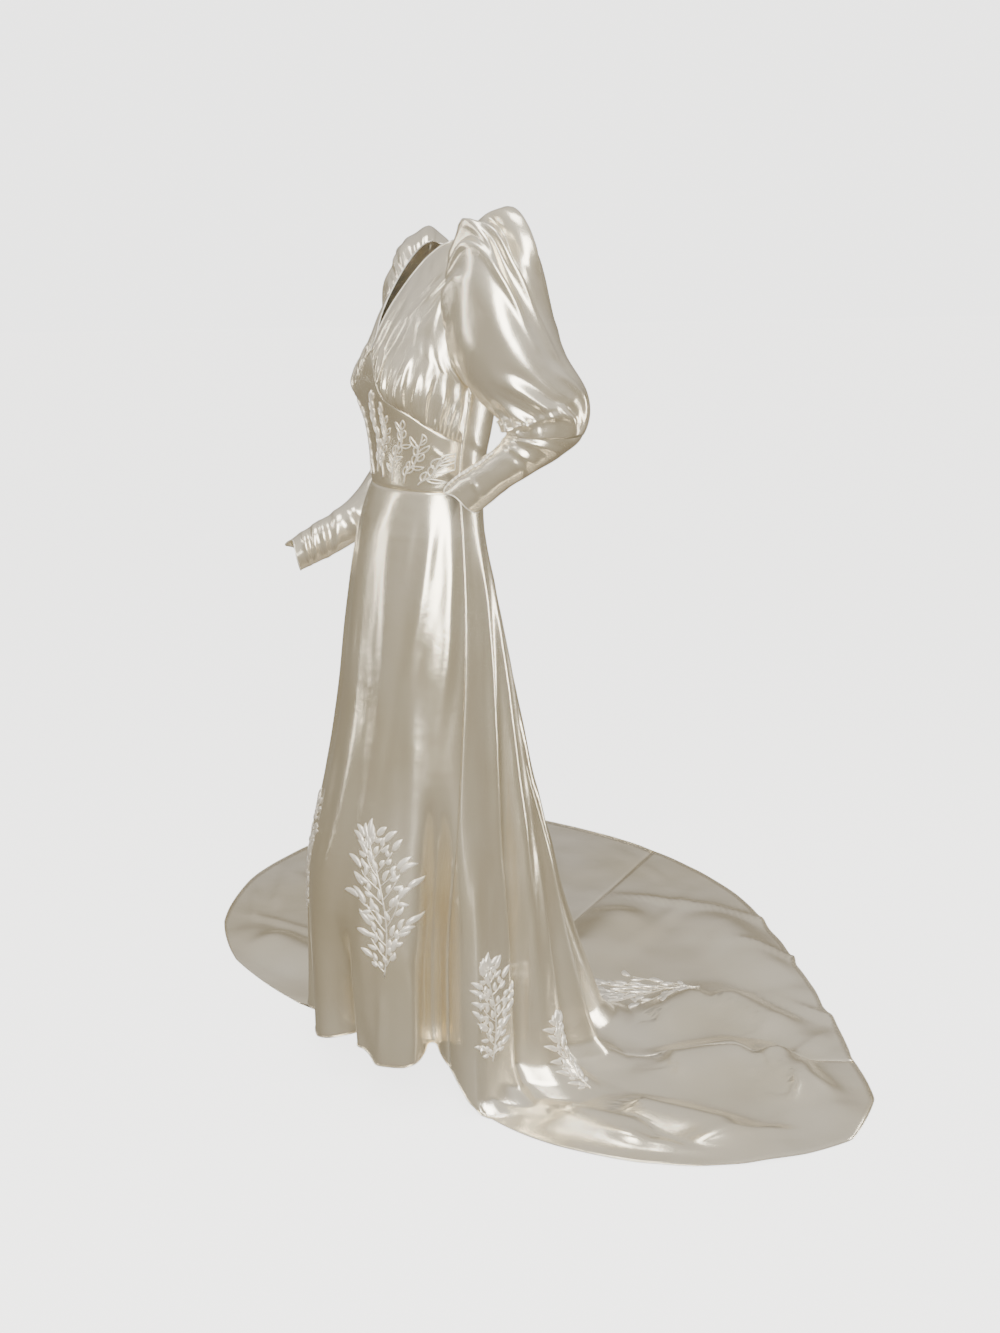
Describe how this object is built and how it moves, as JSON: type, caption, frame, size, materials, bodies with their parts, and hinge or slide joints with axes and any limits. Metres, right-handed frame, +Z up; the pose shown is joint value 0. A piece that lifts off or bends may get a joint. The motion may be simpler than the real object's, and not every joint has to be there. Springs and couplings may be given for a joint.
{
  "type": "wedding dress",
  "caption": "Long satin wedding dress with puffed sleeves, pointed midriff yoke, narrow flared skirt and a train spread on the floor, hollow as worn.",
  "frame": {"origin": "where the wearer holds the dress, on the body's axis at shoulder height", "axes": "+Z up along the wearer, -Y to the wearer's front, +X to the wearer's left; the floor is at z = -1.45 m"},
  "size_m": [1.7816, 1.1814, 1.5193],
  "materials": {
    "satin": "ivory liquid satin"
  },
  "bodies": {
    "root": {"bodice_front_left": "satin", "bodice_front_right": "satin", "midriff_yoke": "satin", "bodice_back": "satin", "sleeve_left_upper": "satin", "sleeve_left_lower": "satin", "sleeve_right_upper": "satin", "sleeve_right_lower": "satin", "skirt_front": "satin", "skirt_side_back_left": "satin", "skirt_back_left": "satin", "skirt_back_right": "satin", "skirt_side_back_right": "satin", "spray_front_left": "satin", "spray_front_right": "satin", "spray_side_back_left": "satin", "spray_back_left": "satin", "spray_train": "satin", "spray_yoke": "satin", "button_left_1": "satin", "button_left_2": "satin", "button_left_3": "satin", "button_left_4": "satin", "button_left_5": "satin", "button_left_6": "satin", "button_left_7": "satin", "button_left_8": "satin", "button_left_9": "satin", "button_left_10": "satin", "button_left_11": "satin", "button_left_12": "satin", "button_right_1": "satin", "button_right_2": "satin", "button_right_3": "satin", "button_right_4": "satin", "button_right_5": "satin", "button_right_6": "satin", "button_right_7": "satin", "button_right_8": "satin", "button_right_9": "satin", "button_right_10": "satin", "button_right_11": "satin", "button_right_12": "satin"}
  },
  "joints": []
}
